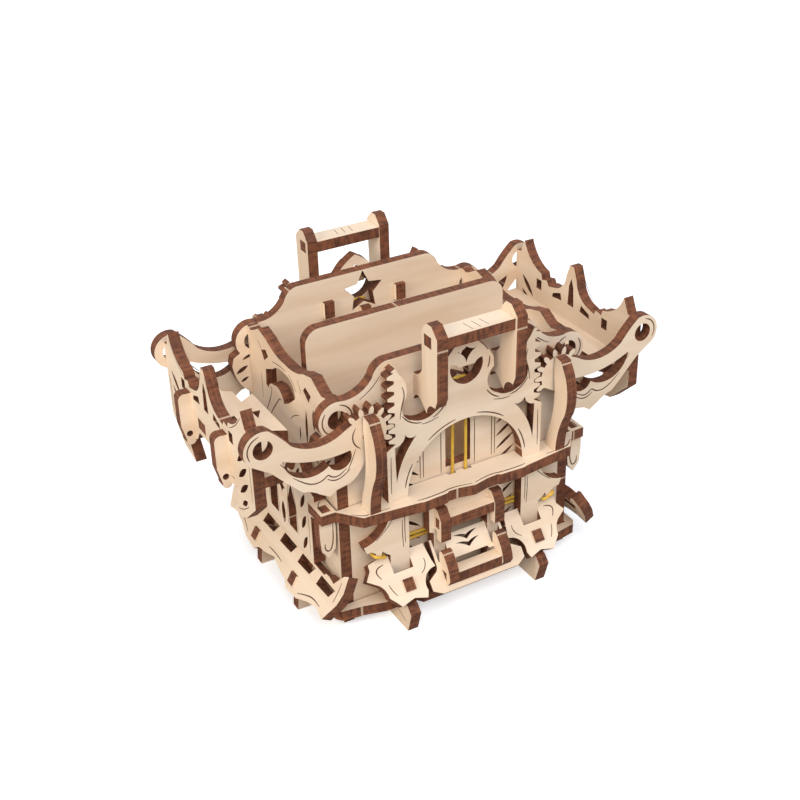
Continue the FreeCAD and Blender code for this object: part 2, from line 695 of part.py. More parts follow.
def retaining_bars(side):
    """Curved bars on the shelf that keep the gears on their pins."""
    inner = arch_out + gap
    outline = [
        (30.4, shelf_z), (33.4, shelf_z), (33.4, shelf_top), (34.6, shelf_top), Via(35.6, 47.0),
        (38.0, 53.0),
        Via(39.0, 59.0), (37.6, 65.6), (35.6, 69.0), (inner + 0.4, 69.4), (inner, 66.0),
        (inner + 0.6, 60.0),
        Via(inner + 0.4, 53.0), (inner - 1.4, 45.8), Via(30.2, 43.0), (29.8, shelf_top),
        (30.4, shelf_top),
    ]
    bars = []
    for hand in (LEFT, RIGHT):
        x = BAR_X * hand - half
        body = plate("%s_%s_bar" % (SIDE_NAME[side], HAND_NAME[hand]), [flipped(outline, side)], "YZ",
                     ("%g" % (BAR_X * hand) + " - sizes.ply / 2", "", ""), keep=False)
        bars.append(body)
    return group("%s_retaining_bars" % SIDE_NAME[side], bars)


def front_slope(s, depth=0.0):
    """Point on the front's tilted plane: s down the slope, depth inward from its outer face."""
    a = math.radians(mm("front_tilt_degrees"))
    y = 29.8 + s * math.cos(a) - depth * math.sin(a)
    z = 22.6 - s * math.sin(a) - depth * math.cos(a)
    return y, z


def side_slope(s, depth=0.0):
    a = math.radians(mm("side_tilt_degrees"))
    x = mm("skirt_side") + s * math.cos(a) - depth * math.sin(a)
    z = mm("skirt_top") - s * math.sin(a) - depth * math.cos(a)
    return x, z


def front_tilted(name, loops, side, keep=True):
    """A plate that leans on the front or back feet; its drawing runs along X and down the slope."""
    a = mm("front_tilt_degrees")
    if side == FRONT:
        turn = FreeCAD.Rotation(FreeCAD.Vector(1, 0, 0), a)
        drawn = [[Via(p.x, -p.y) if isinstance(p, Via) else (p[0], -p[1]) for p in loop]
            for loop in loops]
    else:
        turn = FreeCAD.Rotation(FreeCAD.Vector(0, 0, 1),
            180).multiply(FreeCAD.Rotation(FreeCAD.Vector(1, 0, 0), a))
        drawn = [[Via(-p.x, -p.y) if isinstance(p, Via) else (-p[0], -p[1]) for p in loop]
            for loop in loops]
    y, z = front_slope(0, ply)
    return plate(name, drawn, turn, ("%.6f" % 0, "%.6f" % (side * y), "%.6f" % z), keep)


STAR_HOLE = (8.9, 12.4)


def star_plate(side, hand):
    """Star-shaped apron on a foot, notched round the arch's leg."""
    inner, outer = mm("arch_radius") - fit, leg_out + fit
    outline = [
        (13.4, 1.3), (inner, 1.3), (inner, 6.5), (outer, 6.5), (outer, 1.3), (28.0, 1.3), (30.9, 1.9),
        (31.0, 3.7),
        (32.8, 6.1), (29.6, 8.3), Via(28.4, 10.2), (28.0, 12.4), (26.4, 14.2), (25.2, 15.7), (21.0, 14.6),
        (17.2, 15.8),
        (16.4, 14.0), Via(16.2, 11.0), (12.0, 8.4), (12.6, 6.4),
    ]
    hole = box(foot_x - half - fit, STAR_HOLE[0] - fit, foot_x + half + fit, STAR_HOLE[1] + fit)
    return front_tilted("%s_%s_star_plate" % (SIDE_NAME[side], HAND_NAME[hand]),
                        [flipped(outline, hand), flipped(hole, hand)], side)


def end_feet(side):
    """Feet across the front or back: a pointed toe, a sloping shoulder and a tenon for the star plate."""
    top_y = arch_in + 0.2
    leg = mm("leg_bottom")
    s_top = 2.0
    while front_slope(s_top, ply)[1] > leg - 1e-9:
        s_top += 0.01
    toe = mm("foot_out")
    outline = [
        (toe, 0), (toe + 2.0, 6.6), (toe + 0.2, 8.6), front_slope(15.0, ply),
        front_slope(STAR_HOLE[1], ply),
        front_slope(STAR_HOLE[1], -0.6), front_slope(STAR_HOLE[0], -0.6), front_slope(STAR_HOLE[0], ply),
        front_slope(s_top, ply), (top_y, leg), (top_y, base_top), (base_slot(), base_top),
        (base_slot(), base_z),
        (wall_out + gap, base_z), (wall_out + gap, floor_z - fit), (wall_out - 3.0, floor_z - fit),
        (wall_out - 3.0, 0),
    ]
    feet = []
    for hand in (LEFT, RIGHT):
        base = "%s sizes.foot_x - sizes.ply / 2" % ("-" if hand == LEFT else "")
        feet.append(plate("%s_%s_foot" % (SIDE_NAME[side], HAND_NAME[hand]), [flipped(outline, side)],
            "YZ",
                          (base, "", ""), keep=False))
    return group("%s_feet" % SIDE_NAME[side], feet)


def base_slot():
    """How far in from the edge the end feet's half-lap reaches."""
    return wall_out + gap + 2.9


SKIRT_HOLE = (6.9, 10.2)


def side_feet(hand):
    """Feet across the sides, with a tenon for the skirt and a flat top under the screen."""
    toe = mm("side_foot_out")
    top_x = screen_in
    leg = mm("skirt_top") - 2.6
    s_top = 0.0
    while side_slope(s_top, ply)[1] > leg - 1e-9:
        s_top += 0.01
    outline = [
        (toe, 0), (toe - 0.4, 4.6), side_slope(11.6, ply), side_slope(SKIRT_HOLE[1], ply),
        side_slope(SKIRT_HOLE[1], -0.6), side_slope(SKIRT_HOLE[0], -0.6), side_slope(SKIRT_HOLE[0], ply),
        side_slope(s_top, ply), (top_x, leg), (top_x, base_top), (side_slot(), base_top),
        (side_slot(), base_z),
        (side_out + gap, base_z), (side_out + gap, floor_z - fit), (side_out - 3.0, floor_z - fit),
        (side_out - 3.0, 0),
    ]
    feet = []
    for side in (FRONT, BACK):
        base = "%s sizes.rib_y + sizes.ply / 2" % ("-" if side == FRONT else "")
        feet.append(plate("%s_%s_side_foot" % (SIDE_NAME[side], HAND_NAME[hand]),
            [flipped(outline, hand)], "XZ",
                          ("", base, ""), keep=False))
    return group("%s_feet" % HAND_NAME[hand], feet)


def side_slot():
    return screen_in + ply / 2


def skirt(hand):
    """Leaning palisade along a side: sawtooth gaps above, arcs round the feet, pointed ends."""
    right = [
        (0, 8.8), Via(3.0, 9.8), (8.6, 10.8), (11.0, 12.6), (17.4, 12.0), (22.6, 9.8), (27.4, 8.7),
        (31.4, 9.8),
        (34.6, 3.2), (35.2, -0.6), (34.2, -5.4), (32.4, -4.4), (30.8, -2.2), (29.6, -0.4), (26.6, -0.9),
        (24.8, -0.7),
        (24.4, 0),
    ]
    left = flipped(right, -1)[::-1]
    teeth = []
    for start in (12.6, 0.9, -10.8, -22.5):
        teeth.append([(start - 0.9, 0.7), (start - 0.2, 3.9), (start - 7.4, 3.6), (start - 9.0, 0.7)])
    outline = right + left[:-1]
    holes = [box(s * rib_y - half - fit, SKIRT_HOLE[0] - fit, s * rib_y + half + fit, SKIRT_HOLE[1] + fit)
             for s in (LEFT, RIGHT)]
    loops = [outline] + holes + teeth
    a = mm("side_tilt_degrees")
    if hand == RIGHT:
        turn = FreeCAD.Rotation(FreeCAD.Vector(0, 0, 1),
            90).multiply(FreeCAD.Rotation(FreeCAD.Vector(1, 0, 0), a))
    else:
        turn = FreeCAD.Rotation(FreeCAD.Vector(0, 0, 1),
            -90).multiply(FreeCAD.Rotation(FreeCAD.Vector(1, 0, 0), a))
    drawn = [[Via(hand * p.x, -p.y) if isinstance(p, Via) else (hand * p[0], -p[1]) for p in loop]
        for loop in loops]
    x, z = side_slope(0, ply)
    return plate("%s_skirt" % HAND_NAME[hand], drawn, turn, ("%.6f" % (hand * x), "", "%.6f" % z))


def side_screen(hand):
    """Pierced upright screen between the side feet and the wing, with three pointed lights."""
    y, low, top = 18.6, mm("skirt_top") + fit, mm("screen_top")
    lap = y + 0.8
    outline = mirrored([
        (0, low), (y, low), (y, shelf_z - 3.0), (y + 2.8, shelf_z - 2.4), (y + 2.8, shelf_z - fit),
        (lap, shelf_z - fit),
        (lap, shelf_top + fit), (y + 2.8, shelf_top + fit), (y + 2.8, shelf_top + 1.6),
        (y, shelf_top + 2.4),
        Via(y - 2.6, shelf_top + 5.6), (y - 6.0, top), (y - 8.4, top - 5.0), Via(4.6, top - 7.6),
        (0, top - 2.0),
    ])
    lights = [[(s * 6.2 - 2.6, 22.0), (s * 6.2 + 2.6, 22.0), (s * 6.2 + 2.6, 31.0), (s * 6.2, 37.6),
        (s * 6.2 - 2.6, 31.0)]
              for s in (LEFT, RIGHT)]
    leaves = [leaf(s * 12.2, z, s * 15.4, z + 6.0, 0.9) for s in (LEFT, RIGHT)
        for z in (19.0, 26.0, 33.0)]
    leaves += [leaf(s * 10.4, 41.0, s * 13.0, 46.4, 0.8) for s in (LEFT, RIGHT)]
    drops = [four_point(0, 33.4, 2.6), leaf(0, 38.2, 0, 45.6, 1.1), leaf(0, 20.4, 0, 28.2, 1.2)]
    base = "sizes.room_width / 2 + sizes.ply + 2 * sizes.running_gap"
    if hand == LEFT:
        base = "-(sizes.room_width / 2 + 2 * sizes.ply + 2 * sizes.running_gap)"
    return plate("%s_screen" % HAND_NAME[hand], [outline] + lights + leaves + drops, "YZ", (base, "", ""))


def shields(hand):
    """Shield-shaped pendants pegged into the shelf's corners."""
    x0, x1 = screen_in + 0.1, screen_in + 4.7
    middle = (x0 + x1) / 2
    outline = [
        (middle, 25.0), (x1 - 0.3, 27.6), Via(x1 - 0.1, 29.4), (x1, shelf_z), (middle + 1.2, shelf_z),
        (middle + 1.2, shelf_top), (middle - 1.2, shelf_top), (middle - 1.2, shelf_z), (x0, shelf_z),
        Via(x0 + 0.1, 29.4), (x0 + 0.3, 27.6),
    ]
    plates = []
    for side in (FRONT, BACK):
        base = "%g + sizes.ply / 2" % (side * SHIELD_Y)
        plates.append(plate("%s_%s_shield" % (SIDE_NAME[side], HAND_NAME[hand]), [flipped(outline, hand)],
            "XZ",
                            ("", base, ""), keep=False))
    return group("%s_shields" % HAND_NAME[hand], plates)


def base_ring():
    """Ring that the feet carry and the card box slides through."""
    x_in, y_in = side_out + gap, wall_out + gap
    x_out, y_out = mm("base_side"), mm("base_edge")
    near, far = mm("grip_x") - half - fit, mm("grip_x") + half + fit
    quarter = [
        (x_out, rib_y - half - fit), (side_slot() - fit, rib_y - half - fit),
        (side_slot() - fit, rib_y + half + fit),
        (x_out, rib_y + half + fit), (x_out, 17.0), (40.4, 20.0), (40.4, 28.6), (39.2, 30.2),
        (33.0, 31.2),
        (26.5, 33.0), (foot_x + half + fit, 33.0), (foot_x + half + fit, base_slot() - fit),
        (foot_x - half - fit, base_slot() - fit), (foot_x - half - fit, 33.0), (17.0, 33.4),
        (15.8, y_out),
        (far, y_out), (far, REST_TAB[0] - fit), (near, REST_TAB[0] - fit), (near, y_out),
    ]
    outer = quarter + [(-x, y) for x, y in reversed(quarter)] + [(-x, -y) for x, y in quarter]
    outer += [(x, -y) for x, y in reversed(quarter)]
    inner = box(-x_in, -y_in, x_in, y_in)
    slots = [box(s * mm("grip_x") - 1.8 - fit, -arch_out - fit, s * mm("grip_x") + 1.8 + fit,
        -arch_in + fit)
             for s in (LEFT, RIGHT)]
    return plate("base_ring", [outer, inner] + slots, "XY", ("", "", "sizes.base_height"))


# Latch at the front: a fixed thumb rest on a leaning plate and a grip that slides down towards it

GRIP_IN, GRIP_OUT = mm("grip_x") - half, mm("grip_x") + half
REST_WINDOW = (9.0, 14.8)
STRUT_TENON = (9.0, 12.0)
REST_TAB = (33.6, 35.0)
REST_IN = 32.6


def slope_plate(side):
    """Leaning plate between the star plates; the front one has chevrons and the latch's slots."""
    top, bottom = 1.3, 16.4
    notch_in, notch_out = mm("grip_x") - 1.9, mm("grip_x") + 1.9
    right = [
        (0, bottom), (12.4, bottom), (15.2, 14.8), (15.2, 11.8), (12.9, 10.4), Via(12.0, 9.6),
        (11.7, 8.4), (11.4, top),
    ]
    if side == FRONT:
        right += [(notch_out, top), (notch_out, 7.7), (notch_in, 7.7), (notch_in, top)]
    right += [(0, top)]
    loops = [mirrored(right)]
    if side == FRONT:
        first, last = REST_WINDOW
        loops.append(mirrored([
            (0, last + fit), (GRIP_OUT + fit, last + fit), (GRIP_OUT + fit, first - fit),
            (5.6, first - fit), (5.2, 8.2),
            (0, 8.2),
        ]))
        for s in (2.4, 4.6):
            loops.append([(-3.9, s), Via(-1.6, s + 0.9), (0, s + 2.0), Via(1.6, s + 0.9), (3.9, s),
                          Via(1.8, s + 0.1), (0, s + 0.7), Via(-1.8, s + 0.1)])
    else:
        loops += [box(s * mm("grip_x") - half - fit, STRUT_TENON[0] - fit, s * mm("grip_x") + half + fit,
                      STRUT_TENON[1] + fit) for s in (LEFT, RIGHT)]
    return front_tilted("%s_slope_plate" % SIDE_NAME[side], loops, side)


def rest_cheeks():
    """Cheeks of the fixed thumb rest: they pass through the leaning plate and stand in the base ring."""
    first, last = REST_WINDOW
    outline = [
        front_slope(last, ply), front_slope(last, 0), (40.0, 12.4), (40.4, 13.2), Via(39.1, 17.2),
        (36.2, 20.6),
        (35.2, 20.6), (34.6, 19.4), front_slope(first - 1.6, -0.2), front_slope(first, 0),
        front_slope(first, ply),
        (REST_IN, front_slope(first, ply)[1] - 0.6), (REST_IN, base_top), (REST_TAB[0], base_top),
        (REST_TAB[0], base_z),
        (REST_TAB[1], base_z), (REST_TAB[1], base_top), (front_slope(last, ply)[0], base_top),
    ]
    hole = box(REST_BAR[0] - fit, REST_BAR_Z - fit, REST_BAR[1] + fit, REST_BAR_Z + ply + fit)
    cheeks = []
    for hand in (LEFT, RIGHT):
        base = "%s sizes.grip_x - sizes.ply / 2" % ("-" if hand == LEFT else "")
        cheeks.append(plate("%s_rest_cheek" % HAND_NAME[hand],
            [flipped(outline, FRONT), flipped(hole, FRONT)], "YZ",
                            (base, "", ""), keep=False))
    return group("rest_cheeks", cheeks)


def slope_struts():
    """Struts behind the back's leaning plate, from the base ring into its slots."""
    first, last = STRUT_TENON
    front = [(last, ply), (last, -0.4), (first, -0.4), (first, ply)]
    outline = [front_slope(s, depth) for s, depth in front] + [
        (REST_TAB[0] - 0.5, front_slope(first, ply)[1] - 0.6), (REST_TAB[0] - 0.5, base_top),
        (front_slope(last, ply)[0], base_top),
    ]
    struts = []
    for hand in (LEFT, RIGHT):
        base = "%s sizes.grip_x - sizes.ply / 2" % ("-" if hand == LEFT else "")
        struts.append(plate("%s_strut" % HAND_NAME[hand], [outline], "YZ", (base, "", ""), keep=False))
    return group("back_struts", struts)


REST_BAR = (36.2, 38.4)
REST_BAR_Z = 11.7


def rest_bar():
    """Level bar of the thumb rest, tenoned into the cheeks."""
    inner, end = GRIP_IN - fit, GRIP_OUT
    near, far = REST_BAR
    outline = mirrored([
        (0, -39.8), (inner, -39.8), (inner, -far), (end, -far), (end, -near), (inner, -near),
        (inner, -35.8), (0, -35.8),
    ])
    return plate("rest_bar", [outline], "XY", ("", "", "%g" % REST_BAR_Z))


SLIDE_TENON = (27.4, 31.0)


def latch_slide():
    """Upright slide behind the grip, between the card box and the shelf's front."""
    foot, body = base_z + 1.9, 24.9
    leg_a, leg_b = mm("grip_x") - 1.8, mm("grip_x") + 1.8
    outline = mirrored([
        (0, body), (leg_a, body), (leg_a, foot), (leg_b, foot), (leg_b, body), (12.0, 25.6), (12.0, 33.4),
        (10.8, 35.0), (0, 35.0),
    ])
    holes = [box(s * mm("grip_x") - half - fit, SLIDE_TENON[0] - fit, s * mm("grip_x") + half + fit,
        SLIDE_TENON[1] + fit)
             for s in (LEFT, RIGHT)]
    return plate("latch_slide", [outline] + holes, "XZ", facing(FRONT, ARCH_IN))


GRIP_BAR = (33.0, 34.8)
GRIP_BAR_Z = 27.6


def grip_cheeks():
    outline = [
        (arch_in, SLIDE_TENON[0]), (arch_out, SLIDE_TENON[0]), (arch_out, 26.5), (33.3, 26.5),
        (33.5, 23.7), (35.8, 23.7), (35.8, 30.6),
        (33.8, 33.4), (arch_out, 33.4), (arch_out, SLIDE_TENON[1]), (arch_in, SLIDE_TENON[1]),
    ]
    hole = box(GRIP_BAR[0] - fit, GRIP_BAR_Z - fit, GRIP_BAR[1] + fit, GRIP_BAR_Z + ply + fit)
    cheeks = []
    for hand in (LEFT, RIGHT):
        base = "%s sizes.grip_x - sizes.ply / 2" % ("-" if hand == LEFT else "")
        loops = [flipped(outline, FRONT), flipped(hole, FRONT)]
        cheeks.append(plate("%s_grip_cheek" % HAND_NAME[hand], loops, "YZ", (base, "", ""), keep=False))
    return group("grip_cheeks", cheeks)


def grip_bar():
    """Bar between the grip's cheeks, with a tenon into each."""
    inner, end = GRIP_IN - fit, GRIP_OUT
    back, front = arch_out + fit, 35.4
    near, far = GRIP_BAR
    outline = [
        (-inner, -back), (-inner, -near), (-end, -near), (-end, -far), (-inner, -far), (-inner, -front),
        (inner, -front), (inner, -far), (end, -far), (end, -near), (inner, -near), (inner, -back),
    ]
    return plate("grip_bar", [outline], "XY", ("", "", "%g" % GRIP_BAR_Z))


# Rubber bands

def tube(points, corner, radius):
    """A closed round band along straight runs joined by tangent arcs."""
    vectors = [FreeCAD.Vector(*p) for p in points]
    count = len(vectors)
    edges = []
    stops = []
    for i in range(count):
        before, here, after = vectors[i - 1], vectors[i], vectors[(i + 1) % count]
        a = (before - here).normalize()
        b = (after - here).normalize()
        turn = math.pi - a.getAngle(b)
        reach_back = corner * math.tan(turn / 2)
        start, end = here + a * reach_back, here + b * reach_back
        towards = (a + b).normalize()
        middle = here + towards * (corner / math.cos(turn / 2) - corner)
        stops.append((start, middle, end))
    for i in range(count):
        start, middle, end = stops[i]
        edges.append(Part.Arc(start, middle, end).toShape())
        following = stops[(i + 1) % count][0]
        edges.append(Part.LineSegment(end, following).toShape())
    path = Part.Wire(edges)
    first = edges[0].Vertexes[0].Point
    direction = edges[0].tangentAt(edges[0].FirstParameter)
    ring = Part.Wire([Part.Circle(first, direction, radius).toShape()])
    return path.makePipeShell([ring], True, True)


def lifting_band(side):
    """Band from the card box's hook down through the shelf, pulling the box down."""
    r = mm("band_radius")
    y = side * (wall_out + mm("panel_gap") / 2)
    x = half + 0.05 + r
    top = HOOK_TENON[1] + 0.05 + r
    low = shelf_z - 0.1 - r
    return wire_part("%s_lifting_band" % SIDE_NAME[side], tube([(-x, y, low), (x, y, low), (x, y, top),
        (-x, y, top)], 0.75, r))


NOTCH_X = 26.2


def latch_band():
    """Band round the arch's two side tabs, under the grip."""
    r = mm("band_radius")
    x = 28.9 + 0.1 + r
    back, front = wall_out + 0.15 + r, arch_out + 0.05 + r
    low, high = 23.0, 24.35
    right = [(x, -back, high), (x, -front, high), (NOTCH_X, -front, low), (NOTCH_X, -back, low)]
    left = [(-px, py, pz) for px, py, pz in reversed(right)]
    return wire_part("latch_band", tube(right + left, 0.75, r))


divider()
box_floor()
for side in (FRONT, BACK):
    card_wall(side)
    handle_posts(side)
    handle_bar(side)
    band_hook(side)
    arch_panel(side)
    shelf(side)
    retaining_bars(side)
    end_feet(side)
    slope_plate(side)
    lifting_band(side)
    for hand in (LEFT, RIGHT):
        star_plate(side, hand)
        wing_arm(side, hand)
for hand in (LEFT, RIGHT):
    side_panel(hand)
    pivot_pins(hand)
    wing_fence(hand)
    tray_floor(hand)
    tray_ribs(hand)
    side_feet(hand)
    skirt(hand)
    side_screen(hand)
    shields(hand)
base_ring()
slope_struts()
rest_cheeks()
rest_bar()
latch_slide()
grip_cheeks()
grip_bar()
latch_band()

doc.recompute()
faults = [o.Name for o in doc.Objects if "Invalid" in o.State or "Error" in o.State]
for piece in pieces:
    if piece.Shape.isNull() or not piece.Shape.isValid() or not piece.Shape.Solids:
        faults.append(piece.Label)
if faults:
    raise RuntimeError("failed: " + ", ".join(faults))

os.makedirs("parts", exist_ok=True)
for piece in pieces:
    piece.Shape.exportStep("parts/%s.step" % piece.Label)
print(len(pieces), "pieces written")
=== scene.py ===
import math

import bmesh
import bpy
from mathutils import Matrix, Vector


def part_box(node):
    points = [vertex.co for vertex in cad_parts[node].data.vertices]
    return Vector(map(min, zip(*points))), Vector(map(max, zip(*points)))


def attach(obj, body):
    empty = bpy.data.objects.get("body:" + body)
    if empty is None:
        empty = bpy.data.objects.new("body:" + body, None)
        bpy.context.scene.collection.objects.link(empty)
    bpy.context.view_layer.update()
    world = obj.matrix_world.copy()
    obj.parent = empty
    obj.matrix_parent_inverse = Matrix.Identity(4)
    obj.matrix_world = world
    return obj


bl_info = {
    "name": "Plywood Deck Box",
    "version": (1, 0, 0),
    "blender": (4, 5, 0),
    "location": "View3D > Sidebar > Deck Box",
    "description": "Laser-cut plywood deck box: birch faces, burnt edges, engraving and rubber bands",
    "category": "Object",
}

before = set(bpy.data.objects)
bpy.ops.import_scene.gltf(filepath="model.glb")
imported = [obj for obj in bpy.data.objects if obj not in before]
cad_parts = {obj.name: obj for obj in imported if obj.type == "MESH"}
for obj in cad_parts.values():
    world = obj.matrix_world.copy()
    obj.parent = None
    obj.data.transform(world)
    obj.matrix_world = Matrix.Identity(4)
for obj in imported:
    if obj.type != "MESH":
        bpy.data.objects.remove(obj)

MM = 0.001
X, Y, Z = Vector((1, 0, 0)), Vector((0, 1, 0)), Vector((0, 0, 1))


def linear(red, green, blue):
    """An 8-bit screen colour as the linear values that shaders take."""
    def channel(value):
        value /= 255
        return value / 12.92 if value <= 0.04045 else ((value + 0.055) / 1.055) ** 2.4
    return channel(red), channel(green), channel(blue)


# Settings

def colour_property(name, description, rgb):
    return bpy.props.FloatVectorProperty(
        name=name, description=description, default=linear(*rgb), subtype="COLOR", min=0, max=1)


def length_property(name, description, default, least):
    return bpy.props.FloatProperty(
        name=name, description=description, default=default, min=least, unit="LENGTH")


def angle_property(name, description, degrees):
    return bpy.props.FloatProperty(
        name=name, description=description, default=math.radians(degrees), subtype="ANGLE")


def number_property(name, description, default, least=0):
    return bpy.props.FloatProperty(name=name, description=description, default=default, min=least)


class DECKBOX_PG_wood(bpy.types.PropertyGroup):
    face: colour_property("Face", "Sanded face veneer, pale part", (241, 221, 198))
    figure: colour_property("Figure", "Darker bands of the face veneer", (229, 204, 177))
    fleck: colour_property("Fleck", "Short fine fibres in the face", (203, 172, 142))
    edge: colour_property("Edge", "Laser-burnt edge", (126, 74, 46))
    char: colour_property("Char", "Darkest streaks of the burnt edge", (78, 42, 25))
    glue: colour_property("Edge highlight", "Lighter streaks of the burnt edge", (160, 98, 64))
    bridge_spacing: length_property("Tab spacing", "Distance between an edge's pale tab marks", 0.031, MM)
    roughness: number_property("Roughness", "Roughness of the sanded face", 0.58)


class DECKBOX_PG_engraving(bpy.types.PropertyGroup):
    ink: colour_property("Engraving", "Scorched line", (70, 44, 30))
    worn: colour_property("Worn engraving", "Paler stretches of a scorched line", (112, 76, 52))
    width: length_property("Line width", "Width of an engraved line", 0.00042, 0.1 * MM)


class DECKBOX_PG_rubber(bpy.types.PropertyGroup):
    rubber: colour_property("Rubber", "Rubber band", (228, 188, 74))
    shade: colour_property("Rubber shade", "Darker parts of the band", (206, 160, 56))


class DECKBOX_PG_studio(bpy.types.PropertyGroup):
    floor: colour_property("Floor", "Paper sweep under the box", (244, 245, 248))
    reach: length_property("Sweep", "Distance from the box's middle to the sweep's edge", 0.9, 0.1)
    glow: number_property("Sweep glow", "Light that the sweep adds where the camera sees it", 0.46)
    sky: number_property("Sky", "Strength of the soft light from all sides", 0.34)
    azimuth: angle_property("Azimuth", "Camera's turn round the box", -28.904)
    elevation: angle_property("Elevation", "Camera's height angle", 30.165)
    roll: angle_property("Roll", "Camera's roll", -1.6587)
    place: bpy.props.FloatVectorProperty(
        name="Camera", description="Camera's place", default=(-0.15541, -0.27735, 0.23315),
        subtype="TRANSLATION", unit="LENGTH")
    lens: number_property("Lens", "Focal length on a 36 mm sensor", 57.13, 1)


# Shader expressions

class Field:
    """A shader socket that can be used in Python expressions."""

    def __init__(self, paint, socket):
        self.paint = paint
        self.socket = socket

    def _math(self, operation, first, second=0.0, third=0.0):
        return self.paint.node("ShaderNodeMath", {"operation": operation}, {0: first, 1: second, 2: third})

    def __add__(self, other):
        return self._math("ADD", self, other)

    def __radd__(self, other):
        return self._math("ADD", other, self)

    def __sub__(self, other):
        return self._math("SUBTRACT", self, other)

    def __rsub__(self, other):
        return self._math("SUBTRACT", other, self)

    def __mul__(self, other):
        return self._math("MULTIPLY", self, other)

    def __truediv__(self, other):
        return self._math("DIVIDE", self, other)

    def __abs__(self):
        return self._math("ABSOLUTE", self)

    def __gt__(self, other):
        return self._math("GREATER_THAN", self, other)

    def fraction(self):
        return self._math("FRACT", self)

    def largest(self, other):
        return self._math("MAXIMUM", self, other)

    def between(self, low, high):
        """0 at low, 1 at high, smooth between."""
        settings = {"interpolation_type": "SMOOTHSTEP"}
        return self.paint.node("ShaderNodeMapRange", settings, {0: self, 1: low, 2: high})


class Nodes:
    """A node tree that is filled by expression."""

    def __init__(self, tree):
        self.tree = tree
        tree.nodes.clear()

    def node(self, kind, settings=None, inputs=None, output=0):
        made = self.tree.nodes.new(kind)
        for key, value in (settings or {}).items():
            setattr(made, key, value)
        for key, value in (inputs or {}).items():
            if isinstance(value, Field):
                self.tree.links.new(value.socket, made.inputs[key])
            else:
                made.inputs[key].default_value = value
        return Field(self, made.outputs[output]) if len(made.outputs) else None


class Paint(Nodes):
    """A material whose nodes are added by expression."""

    def __init__(self, name):
        self.material = bpy.data.materials.new(name)
        self.material.use_nodes = True
        super().__init__(self.material.node_tree)

    def place(self):
        return self.node("ShaderNodeTexCoord", output="Object")

    def normal(self):
        return self.node("ShaderNodeTexCoord", output="Normal")

    def axes(self):
        """How far the surface lies along X, Y and Z."""
        place = self.place()
        return [self.along(place, direction) for direction in (X, Y, Z)]

    def along(self, vector, direction):
        """How far a vector reaches in a direction."""
        inputs = {0: vector, 1: tuple(direction)}
        return self.node("ShaderNodeVectorMath", {"operation": "DOT_PRODUCT"}, inputs, "Value")

    def noise(self, axes, waves, detail, roughness):
        """Noise with its own number of waves per metre along each axis."""
        point = self.node("ShaderNodeCombineXYZ", None, {i: axes[i] * waves[i] for i in range(3)})
        inputs = {"Vector": point, "Scale": 1.0, "Detail": detail, "Roughness": roughness}
        return self.node("ShaderNodeTexNoise", None, inputs)

    def mix(self, factor, first, second):
        """Colour from first to second."""
        def full(colour):
            return colour if isinstance(colour, Field) else (*colour, 1.0)
        settings = {"data_type": "RGBA", "clamp_factor": True}
        # The node's colours go in at 6 and 7 and come out at 2
        return self.node("ShaderNodeMix", settings, {0: factor, 6: full(first), 7: full(second)}, 2)

    def finish(self, colour, roughness, height, depth, **sockets):
        """Surface with a colour, a roughness and a relief of the given depth in metres."""
        relief = self.node("ShaderNodeBump", None, {"Strength": 1.0, "Distance": depth, "Height": height})
        inputs = {"Base Color": colour, "Roughness": roughness, "Normal": relief, **sockets}
        shader = self.node("ShaderNodeBsdfPrincipled", None, inputs)
        self.node("ShaderNodeOutputMaterial", None, {"Surface": shader})
        return self.material


# Which way each plate lies

# How far the front's and back's leaning plates and the skirts are tilted from level
TILT = math.radians(50)
LEAN = math.radians(60)
# A leaning plate's top line: millimetres out from the middle, and up
SLOPE_TOP = (29.8, 22.6)
SKIRT_TOP = (41.0, 17.6)
# Outward directions of the leaning plates
FRONT_SLOPE = Vector((0, -math.sin(TILT), math.cos(TILT)))
BACK_SLOPE = Vector((0, math.sin(TILT), math.cos(TILT)))
LEFT_SLOPE = Vector((-math.sin(LEAN), 0, math.cos(LEAN)))
RIGHT_SLOPE = Vector((math.sin(LEAN), 0, math.cos(LEAN)))
# How the names of plates end that stand parallel to the front, and of those that lie level
PARALLEL_TO_FRONT = (
    "wall", "divider", "arch_panel", "arm", "ribs", "shields", "latch_slide", "left_feet", "right_feet")
LEVEL = ("floor", "handle_bar", "shelf", "base_ring", "grip_bar", "rest_bar")


def lie(node):
    """Direction through the plate and direction of its grain."""
    if node == "left_skirt":
        return LEFT_SLOPE, Y
    if node == "right_skirt":
        return RIGHT_SLOPE, Y
    if node.endswith(("star_plate", "slope_plate")):
        return (BACK_SLOPE if node.startswith("back") else FRONT_SLOPE), X
    if node.endswith(PARALLEL_TO_FRONT):
        return Y, X
    if node.endswith(LEVEL):
        return Z, (X if node.endswith(("shelf", "bar", "box_floor", "ring")) else Y)
    return X, (Z if node.endswith(("posts", "bars", "cheeks", "feet")) else Y)


# Materials

# A surface is a plate's face, or a stick's end, where its normal lies this close to that direction
FACE_LIMIT = 0.7
# How far the grain wanders sideways
WANDER = 4 * MM
# Tab marks are counted along this direction, which no outline follows for long
TAB_DIRECTION = Vector((0.62, 0.47, 0.63))
# Share of the tab spacing, from its middle, at which a pale mark begins and at which it is full
TAB_LIMITS = (0.4930, 0.4960)
# A plate's own number moves its pattern in these steps: metres, metres and shares of the tab spacing
LENGTH_STEP = 0.013
WIDTH_STEP = 0.0071
TAB_STEP = 0.37


